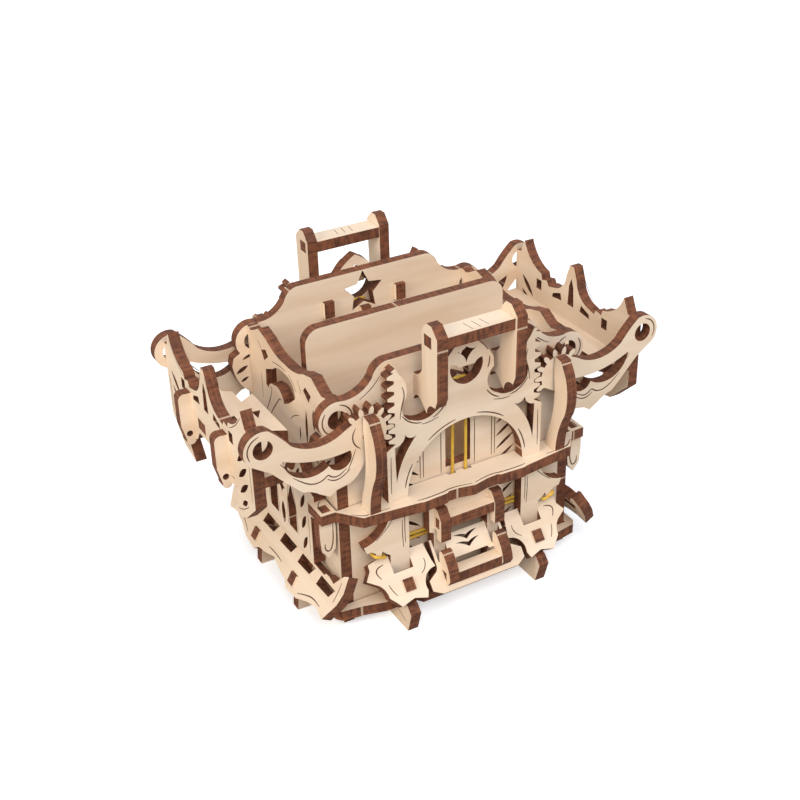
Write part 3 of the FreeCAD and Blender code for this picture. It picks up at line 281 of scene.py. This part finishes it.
def plywood(node, wood):
    """Birch plywood: pale figured faces with fine fibres, streaked burnt edges with pale tab marks."""
    through, grain = lie(node)
    cross = through.cross(grain)
    number = sum(ord(letter) * (i + 3) for i, letter in enumerate(node)) % 97
    paint = Paint("plywood_" + node)
    place = paint.place()
    depth = paint.along(place, through)
    length = paint.along(place, grain) + number * LENGTH_STEP
    width = paint.along(place, cross) + number * WIDTH_STEP
    is_face = abs(paint.along(paint.normal(), through)) > FACE_LIMIT

    # Waves per metre are given along the grain, across it and through the plate
    plain = (length, width, depth)
    wander = paint.noise(plain, (22, 22, 60), 2.0, 0.5)
    bent = (length, width + (wander - 0.5) * WANDER, depth)
    figure = paint.noise(bent, (14, 130, 40), 3.0, 0.55)
    fibre = paint.noise(bent, (60, 1500, 200), 3.0, 0.65)
    pores = paint.noise(bent, (260, 3600, 400), 2.0, 0.5)
    face = paint.mix(figure.between(0.36, 0.70), tuple(wood.face), tuple(wood.figure))
    face = paint.mix(fibre.between(0.50, 0.86) * 0.42, face, tuple(wood.figure))
    face = paint.mix(pores.between(0.66, 0.80) * 0.45, face, tuple(wood.fleck))

    streak = paint.noise(plain, (900, 900, 260), 3.0, 0.6)
    layer = paint.noise(plain, (60, 60, 2400), 2.0, 0.5)
    blotch = paint.noise(plain, (120, 120, 80), 2.0, 0.5)
    edge = paint.mix(streak.between(0.34, 0.62), tuple(wood.char), tuple(wood.edge))
    edge = paint.mix(layer.between(0.52, 0.74) * 0.55, edge, tuple(wood.glue))
    edge = paint.mix(blotch.between(0.44, 0.70) * 0.45, edge, tuple(wood.char))
    count_along = TAB_DIRECTION - through * TAB_DIRECTION.dot(through)
    run = (paint.along(place, count_along) / wood.bridge_spacing + number * TAB_STEP).fraction()
    tab = abs(run - 0.5).between(*TAB_LIMITS)
    edge = paint.mix(tab * 0.6, edge, tuple(wood.figure))

    colour = paint.mix(is_face, edge, face)
    rough = (1 - is_face) * 0.2 + wood.roughness + (fibre - 0.5) * 0.12
    height = is_face * fibre * 0.6 + (1 - is_face) * (streak + layer)
    return paint.finish(colour, rough, height, depth=0.06 * MM)


def round_stick(wood):
    """Pivot pins: a pale turned stick with end grain."""
    paint = Paint("round_stick")
    axes = paint.axes()
    is_end = abs(paint.along(paint.normal(), Y)) > FACE_LIMIT
    fibre = paint.noise(axes, (2400, 70, 2400), 3.0, 0.6)
    rings = paint.noise(axes, (1800, 10, 5200), 3.0, 0.6)
    body = paint.mix(fibre.between(0.35, 0.7), tuple(wood.face), tuple(wood.fleck))
    end = paint.mix(rings.between(0.3, 0.65), tuple(wood.figure), tuple(wood.edge))
    colour = paint.mix(is_end, body, end)
    rough = 0.6 + (fibre - 0.5) * 0.15
    return paint.finish(colour, rough, fibre, depth=0.05 * MM)


def rubber_band(rubber):
    """Natural rubber: slightly waxy, mottled, with faint lengthwise draw lines."""
    paint = Paint("rubber_band")
    axes = paint.axes()
    mottle = paint.noise(axes, (500, 500, 500), 3.0, 0.6)
    draw = paint.noise(axes, (4200, 4200, 120), 2.0, 0.5)
    colour = paint.mix(mottle.between(0.35, 0.7), tuple(rubber.rubber), tuple(rubber.shade))
    rough = 0.42 + (draw - 0.5) * 0.2
    return paint.finish(colour, rough, draw + mottle, depth=0.04 * MM, **{"Specular IOR Level": 0.4})


def scorched(engraving):
    """Engraved line: matt scorched wood that varies in strength."""
    paint = Paint("scorched_line")
    patch = paint.noise(paint.axes(), (900, 900, 900), 2.0, 0.6)
    colour = paint.mix(patch.between(0.35, 0.75), tuple(engraving.ink), tuple(engraving.worn))
    return paint.finish(colour, 0.85, patch, depth=0.02 * MM)


def paint_node(node, material):
    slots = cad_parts[node].material_slots
    if not slots:
        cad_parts[node].data.materials.append(material)
    for slot in slots:
        slot.material = material


# Engraving: thin scorched lines that follow the outlines

# A line is a round tube that is squeezed to this share of its height, so that it lies flat on the wood
FLATTENING = 0.16
# Its ends taper to this share of its width
TAPER = 0.45
# Corners of a line that lie closer than this are joined
WELD = 1e-6


class Sheet:
    """The outer face of a plate: a point's two coordinates in millimetres become a place on it."""

    def __init__(self, body, origin, right, up, out):
        self.body = body
        self.origin = Vector(origin)
        self.right = Vector(right)
        self.up = Vector(up)
        self.out = Vector(out)

    def at(self, a, b):
        return self.origin + self.right * (a * MM) + self.up * (b * MM)


def arc(cx, cy, radius, start, end, steps=7):
    """Points of an arc between two angles in degrees."""
    turn = [math.radians(start + (end - start) * i / (steps - 1)) for i in range(steps)]
    return [(cx + radius * math.cos(t), cy + radius * math.sin(t)) for t in turn]


def both(lines):
    """The lines and their mirror images in the plate's middle."""
    return lines + [[(-a, b) for a, b in line] for line in lines]


def engrave(name, sheet, lines, material, width):
    """Lay scorched lines on a plate's face as one piece."""
    work = bmesh.new()
    flatten = Matrix.Scale(FLATTENING, 4, sheet.out)
    to_sheet = Matrix.Translation(sheet.origin)
    for line in lines:
        curve = bpy.data.curves.new(name + "_route", "CURVE")
        curve.dimensions = "3D"
        curve.bevel_depth = width / 2
        curve.bevel_resolution = 1
        curve.resolution_u = 3
        curve.use_fill_caps = True
        spline = curve.splines.new("NURBS")
        spline.points.add(len(line) - 1)
        for point, (a, b) in zip(spline.points, line):
            point.co = (*sheet.at(a, b), 1.0)
            point.radius = 1.0
        spline.points[0].radius = TAPER
        spline.points[-1].radius = TAPER
        spline.order_u = min(3, len(line))
        spline.use_endpoint_u = True
        route = bpy.data.objects.new(name + "_route", curve)
        mesh = bpy.data.meshes.new_from_object(route)
        mesh.transform(to_sheet @ flatten @ to_sheet.inverted())
        work.from_mesh(mesh)
        bpy.data.meshes.remove(mesh)
        bpy.data.objects.remove(route)
        bpy.data.curves.remove(curve)
    bmesh.ops.remove_doubles(work, verts=work.verts, dist=WELD)
    bmesh.ops.recalc_face_normals(work, faces=work.faces)
    mesh = bpy.data.meshes.new(name)
    work.to_mesh(mesh)
    work.free()
    mesh.materials.append(material)
    piece = bpy.data.objects.new(name, mesh)
    bpy.context.scene.collection.objects.link(piece)
    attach(piece, sheet.body)


def upright_sheet(node, body, side):
    """Outer face of a plate parallel to the front: side is -1 at the front and 1 at the back."""
    low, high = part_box(node)
    y = low[1] if side < 0 else high[1]
    return Sheet(body, (0, y, 0), X, Z, (0, side, 0))


def cross_sheet(node, body, hand):
    """Outer face of a plate across the box: hand is -1 on the left and 1 on the right."""
    low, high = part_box(node)
    x = low[0] if hand < 0 else high[0]
    return Sheet(body, (x, 0, 0), Y, Z, (hand, 0, 0))


def flat_sheet(node, body):
    """Upper face of a level plate."""
    low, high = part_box(node)
    return Sheet(body, (0, 0, high[2]), X, Y, Z)


def tilted_sheet(side):
    """Outer face of the front's or back's leaning plates: along X, and down the slope from its top line."""
    out, up = SLOPE_TOP
    down = Vector((0, side * math.cos(TILT), -math.sin(TILT)))
    return Sheet("frame", (0, side * out * MM, up * MM), X, down, BACK_SLOPE if side > 0 else FRONT_SLOPE)


def leaning_sheet(hand):
    """Outer face of a skirt: along Y, and down the slope from its top line."""
    out, up = SKIRT_TOP
    down = Vector((hand * math.cos(LEAN), 0, -math.sin(LEAN)))
    return Sheet("frame", (hand * out * MM, 0, up * MM), Y, down, RIGHT_SLOPE if hand > 0 else LEFT_SLOPE)


def flip_a(lines, hand):
    return [[(hand * a, b) for a, b in line] for line in lines]


def flip_b(lines, side):
    return [[(a, side * b) for a, b in line] for line in lines]


def arch_lines():
    """Arch panel: round the ring, under the handle's notches, along the legs and over the arch."""
    return both([
        [(6.7, 77.4), (5.0, 79.9), (3.0, 81.6)], arc(0, 75, 7.2, -24, 4),
        arc(13, 69.2, 7.6, -84, -30), arc(13, 69.2, 7.6, -150, -110),
        arc(0, 40.2, 19.4, 52, 80), arc(0, 40.2, 19.4, 8, 30),
        [(19.4, 74.0), (18.4, 71.6), (19.8, 68.2), (20.2, 64.6)],
        [(8.6, 61.8), (12.0, 60.8), (13.8, 61.2)], [(23.2, 54.0), (23.4, 48.0), (23.4, 42.6)],
        [(19.6, 35.8), (19.8, 30.0), (19.6, 25.2)], [(23.2, 34.6), (25.2, 31.6), (28.6, 29.2)],
        [(20.4, 33.0), (20.6, 28.0), (20.2, 24.0)],
    ])


def wall_lines():
    """Card wall: beside the slits, round the lobes, on the shoulders and near the foot."""
    return both([
        [(11.0, 57.6), (11.0, 50.0), (11.0, 41.0)], [(12.0, 57.6), (12.0, 50.0), (12.0, 41.0)],
        arc(36, 67.2, 4.3, 100, 190), arc(36, 67.2, 4.3, -60, 40), [(23.4, 76.2), (25.6, 73.0), (29.4, 71.2)],
        [(13.4, 16.0), (14.6, 12.4), (17.8, 10.6)], [(5.4, 40.4), (5.4, 48.0), (5.4, 54.6)],
    ])


def shelf_lines():
    """Shelf: a line inside its front edge and round its corners."""
    return both([
        [(0.4, 35.9), (4.4, 34.9), (7.8, 34.9), (8.8, 35.3), (15.8, 35.6), (17.4, 35.2)],
        [(25.2, 34.4), (31.2, 34.0), (33.0, 34.0), (35.4, 31.6)], [(39.6, 22.0), (41.4, 22.4), (41.6, 27.0)],
    ])


def bar_lines():
    """Handle bar: three short strokes for grip."""
    return [[(x, 34.4), (x + 0.5, 38.2)] for x in (-2.4, 0.0, 2.4)]


def arm_lines():
    """Wing arm: a double curve along its lip, and strokes round the hub and the eye."""
    return [
        arc(29.9, 63.4, 4.2, -60, 40), arc(58.6, 68.1, 4.2, -30, 80),
        [(36.2, 55.2), (38.2, 53.6), (40.4, 53.8), (41.6, 55.2),
         (42.8, 53.9), (45.4, 53.4), (48.4, 54.8), (51.2, 57.4)],
        [(35.2, 54.6), (37.8, 52.6), (40.8, 52.8), (41.8, 53.9)], [(33.4, 60.0), (34.6, 56.6), (36.0, 54.2)],
        [(54.4, 62.6), (52.2, 59.6), (50.2, 57.6)],
    ]


def star_lines():
    """Star plate: short strokes beside its outer points."""
    return [
        [(26.6, 3.2), (28.6, 3.4), (29.6, 5.0), (28.4, 6.8)], [(14.6, 5.2), (14.2, 7.6), (16.6, 9.0)],
        [(25.6, 12.4), (26.8, 10.4), (27.0, 8.8)],
    ]


def panel_lines():
    """Side panel: long arcs over the window and the double curve of its tongue."""
    return [
        [(10.2, 58.8), (10.8, 56.4), (13.8, 51.4), (16.0, 48.2)], [(11.4, 58.6), (10.6, 59.0), (10.0, 58.4)],
        [(3.8, 57.6), (4.6, 58.6), (7.4, 55.4), (11.6, 50.6), (13.6, 47.6)],
        [(8.4, 68.0), (4.0, 69.0), (-0.4, 69.0)], [(-2.2, 68.8), (-4.8, 67.6), (-6.2, 65.4)],
        [(17.0, 60.6), (16.8, 56.0), (17.2, 52.2)], [(-1.4, 54.6), (-3.8, 57.4), (-7.2, 58.6)],
        [(-7.6, 69.6), (-8.8, 68.6), (-9.6, 66.4)], [(9.0, 65.6), (9.8, 62.0), (10.0, 60.6)],
        [(17.6, 70.8), (15.8, 69.4), (15.6, 68.8)],
    ]


def skirt_lines():
    """Skirt: an arc over each foot and one beside each prong."""
    return both([
        [(4.4, 8.0), (0.0, 7.6), (-3.0, 7.8)], [(17.0, 10.6), (21.4, 8.4), (25.2, 7.4), (28.4, 7.8)],
        [(32.6, 3.6), (33.0, 0.4), (32.6, -2.6)],
    ])


def fence_lines():
    """Fence: strokes that follow its points."""
    return both([
        [(27.4, 50.6), (27.4, 56.0), (27.4, 62.0)], [(24.4, 74.0), (20.6, 69.2), (15.8, 66.8)],
        [(1.4, 74.4), (3.2, 70.0), (6.6, 67.2)], [(17.0, 43.0), (20.2, 43.8), (24.4, 47.4)],
        [(10.8, 52.0), (13.4, 51.0), (16.4, 51.6)],
    ])


def screen_lines():
    """Screen: strokes round its pointed lights."""
    return both([
        [(2.8, 22.0), (2.8, 31.0), (5.4, 38.6)], [(9.6, 22.0), (9.6, 31.0), (7.0, 38.6)],
        [(16.8, 20.0), (17.0, 27.0), (16.8, 33.0)], [(3.0, 47.0), (5.2, 43.4), (8.8, 42.2)],
    ])


def shield_lines():
    """Shields: a curl that follows the pendant's edge."""
    low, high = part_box("left_shields")
    near, far = -high[0] / MM, -low[0] / MM
    return both([[
        (near + 0.8, 36.0), (near + 0.8, 30.6), (near + 1.6, 27.6), (near + 2.6, 27.2),
        (far - 1.2, 28.4), (far - 1.4, 30.0),
    ]])


def foot_lines():
    """Feet: a curve over each toe."""
    return both([[(31.2, 5.2), (34.6, 3.6), (37.4, 2.8)]])


# Steps

class DECKBOX_OT_plywood(bpy.types.Operator):
    """Give every plate its birch faces and burnt edges"""
    bl_idname = "deckbox.plywood"
    bl_label = "Plywood"

    def execute(self, context):
        wood = context.scene.deckbox_wood
        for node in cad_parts:
            if not node.endswith(("_band", "pivot_pins")):
                paint_node(node, plywood(node, wood))
        return {"FINISHED"}


class DECKBOX_OT_pins(bpy.types.Operator):
    """Give the pivot pins their turned wood"""
    bl_idname = "deckbox.pins"
    bl_label = "Pivot pins"

    def execute(self, context):
        stick = round_stick(context.scene.deckbox_wood)
        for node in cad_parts:
            if node.endswith("pivot_pins"):
                paint_node(node, stick)
        return {"FINISHED"}


class DECKBOX_OT_bands(bpy.types.Operator):
    """Give the bands their rubber"""
    bl_idname = "deckbox.bands"
    bl_label = "Rubber bands"

    def execute(self, context):
        rubber = rubber_band(context.scene.deckbox_rubber)
        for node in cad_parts:
            if node.endswith("_band"):
                paint_node(node, rubber)
        return {"FINISHED"}


class DECKBOX_OT_engraving(bpy.types.Operator):
    """Engrave the lines that follow the outlines of the plates"""
    bl_idname = "deckbox.engraving"
    bl_label = "Engraving"

    def execute(self, context):
        settings = context.scene.deckbox_engraving
        ink = scorched(settings)

        def lay(piece, sheet, lines):
            engrave(piece + "_lines", sheet, lines, ink, settings.width)

        for side, name in ((-1, "front"), (1, "back")):
            lay(name + "_arch", upright_sheet(name + "_arch_panel", "frame", side), arch_lines())
            lay(name + "_wall", upright_sheet(name + "_wall", "card_box", side), wall_lines())
            lay(name + "_shelf", flat_sheet(name + "_shelf", "frame"), flip_b(shelf_lines(), side))
            lay(name + "_bar", flat_sheet(name + "_handle_bar", "card_box"), flip_b(bar_lines(), side))
            lay(name + "_shield", upright_sheet("left_shields", "frame", side), shield_lines())
            for hand, hand_name in ((-1, "left"), (1, "right")):
                arm = "%s_%s_arm" % (name, hand_name)
                lay(arm, upright_sheet(arm, hand_name + "_wing", side), flip_a(arm_lines(), hand))
                star = "%s_%s_star" % (name, hand_name)
                lay(star, tilted_sheet(side), flip_a(star_lines(), hand))
        for hand, name in ((-1, "left"), (1, "right")):
            panel = cross_sheet(name + "_side_panel", "card_box", hand)
            lay(name + "_panel", panel, flip_a(panel_lines(), -hand))
            lay(name + "_skirt", leaning_sheet(hand), skirt_lines())
            lay(name + "_fence", cross_sheet(name + "_wing_fence", name + "_wing", hand), fence_lines())
            lay(name + "_screen", cross_sheet(name + "_screen", "frame", hand), screen_lines())
        for hand, name in ((-1, "left"), (1, "right")):
            foot = cross_sheet("front_feet", "frame", hand)
            engrave("foot_lines_" + name, foot, foot_lines(), ink, settings.width)
        return {"FINISHED"}


# The sweep looks dim to the box, so that it throws little light up, and bright to the camera
SWEEP_DIM = (0.46, 0.44, 0.42, 1.0)
SWEEP_GLOW = (0.97, 0.98, 1.0, 1.0)
SWEEP_ROUGHNESS = 0.9
SKY = (0.93, 0.96, 1.0, 1.0)
WHITE = (1.0, 1.0, 1.0, 1.0)
# Each lamp's name, place, size and power, and the colour of its light
LAMPS = (
    ("key", (-0.27, -0.82, 1.01), 0.7, 8.0, (1.0, 0.985, 0.97)),
    ("sheen", (0.57, -0.85, 0.89), 0.7, 3.0, (0.90, 0.95, 1.0)),
    ("side", (-1.05, -0.35, 0.55), 0.6, 7.6, (1.0, 0.90, 0.76)),
    ("top", (0.0, 0.2, 1.3), 0.9, 3.2, (1.0, 1.0, 1.0)),
)
# The lamps aim at the box's middle
AIM = Vector((0, 0, 0.04))
# Width of the camera's sensor in millimetres, and the nearest that the camera sees in metres
SENSOR = 36
NEAREST = 10 * MM


class DECKBOX_OT_stage(bpy.types.Operator):
    """Set the paper sweep, the soft lights and the camera"""
    bl_idname = "deckbox.stage"
    bl_label = "Stage"

    def execute(self, context):
        scene = context.scene
        studio = scene.deckbox_studio
        self.sweep(scene, studio)
        self.sky(scene, studio)
        self.lamps(scene)
        self.camera(scene, studio)
        scene.view_settings.view_transform = "Standard"
        return {"FINISHED"}

    def sweep(self, scene, studio):
        work = bmesh.new()
        bmesh.ops.create_grid(work, x_segments=2, y_segments=2, size=studio.reach)
        mesh = bpy.data.meshes.new("paper_sweep")
        work.to_mesh(mesh)
        work.free()
        paint = Paint("paper")
        bright = {"Base Color": (*studio.floor, 1.0), "Roughness": SWEEP_ROUGHNESS}
        paper = paint.node("ShaderNodeBsdfPrincipled", None, bright)
        dim = {"Base Color": SWEEP_DIM, "Roughness": SWEEP_ROUGHNESS}
        shade = paint.node("ShaderNodeBsdfPrincipled", None, dim)
        glow = paint.node("ShaderNodeEmission", None, {"Color": SWEEP_GLOW, "Strength": studio.glow})
        lit = paint.node("ShaderNodeAddShader", None, {0: paper, 1: glow})
        seen = paint.node("ShaderNodeLightPath", output="Is Camera Ray")
        both_ways = paint.node("ShaderNodeMixShader", None, {0: seen, 1: shade, 2: lit})
        paint.node("ShaderNodeOutputMaterial", None, {"Surface": both_ways})
        mesh.materials.append(paint.material)
        floor = bpy.data.objects.new("paper_sweep", mesh)
        scene.collection.objects.link(floor)

    def sky(self, scene, studio):
        """Soft light from all sides that looks white to the camera and in reflections."""
        world = bpy.data.worlds.new("studio")
        scene.world = world
        world.use_nodes = True
        sky = Nodes(world.node_tree)
        kinds = ("Is Camera Ray", "Is Glossy Ray", "Is Transmission Ray")
        seen, reflected, passed = (sky.node("ShaderNodeLightPath", output=kind) for kind in kinds)
        clear = seen.largest(reflected).largest(passed)
        soft = sky.node("ShaderNodeBackground", None, {"Color": SKY, "Strength": studio.sky})
        white = sky.node("ShaderNodeBackground", None, {"Color": WHITE, "Strength": 1.0})
        mixed = sky.node("ShaderNodeMixShader", None, {0: clear, 1: soft, 2: white})
        sky.node("ShaderNodeOutputWorld", None, {"Surface": mixed})

    def lamps(self, scene):
        for name, place, size, power, tint in LAMPS:
            data = bpy.data.lights.new(name, "AREA")
            data.shape = "SQUARE"
            data.size = size
            data.energy = power
            data.color = tint
            lamp = bpy.data.objects.new(name, data)
            lamp.location = place
            lamp.rotation_euler = (AIM - Vector(place)).to_track_quat("-Z", "Y").to_euler()
            scene.collection.objects.link(lamp)

    def camera(self, scene, studio):
        turn, height, roll = studio.azimuth, studio.elevation, studio.roll
        level = math.cos(height)
        back = Vector((math.sin(turn) * level, -math.cos(turn) * level, math.sin(height)))
        right = Vector((math.cos(turn), math.sin(turn), 0))
        up = back.cross(right)
        turned_right = right * math.cos(roll) + up * math.sin(roll)
        turned_up = up * math.cos(roll) - right * math.sin(roll)
        data = bpy.data.cameras.new("camera")
        data.lens = studio.lens
        data.sensor_width = SENSOR
        data.clip_start = NEAREST
        camera = bpy.data.objects.new("camera", data)
        facing = Matrix((turned_right, turned_up, back)).transposed()
        camera.matrix_world = Matrix.Translation(studio.place) @ facing.to_4x4()
        scene.collection.objects.link(camera)
        scene.camera = camera


class DECKBOX_PT_panel(bpy.types.Panel):
    """Sizes, colours and steps of the deck box"""
    bl_idname = "DECKBOX_PT_panel"
    bl_label = "Deck Box"
    bl_space_type = "VIEW_3D"
    bl_region_type = "UI"
    bl_category = "Deck Box"

    def draw(self, context):
        for operator in STEPS:
            self.layout.operator(operator.bl_idname)
        for group in SETTINGS:
            values = getattr(context.scene, group)
            box = self.layout.box()
            for name in values.bl_rna.properties.keys():
                if name not in ("rna_type", "name"):
                    box.prop(values, name)


SETTINGS = {
    "deckbox_wood": DECKBOX_PG_wood,
    "deckbox_engraving": DECKBOX_PG_engraving,
    "deckbox_rubber": DECKBOX_PG_rubber,
    "deckbox_studio": DECKBOX_PG_studio,
}
STEPS = [DECKBOX_OT_stage, DECKBOX_OT_plywood, DECKBOX_OT_pins, DECKBOX_OT_bands, DECKBOX_OT_engraving]


def register():
    for group, kind in SETTINGS.items():
        bpy.utils.register_class(kind)
        setattr(bpy.types.Scene, group, bpy.props.PointerProperty(type=kind))
    for kind in STEPS + [DECKBOX_PT_panel]:
        bpy.utils.register_class(kind)


def unregister():
    for kind in reversed(STEPS + [DECKBOX_PT_panel]):
        bpy.utils.unregister_class(kind)
    for group, kind in reversed(SETTINGS.items()):
        delattr(bpy.types.Scene, group)
        bpy.utils.unregister_class(kind)


def main():
    register()
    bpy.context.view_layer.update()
    for step in STEPS:
        getattr(bpy.ops.deckbox, step.bl_idname.split(".")[1])()


if __name__ == "__main__":
    main()
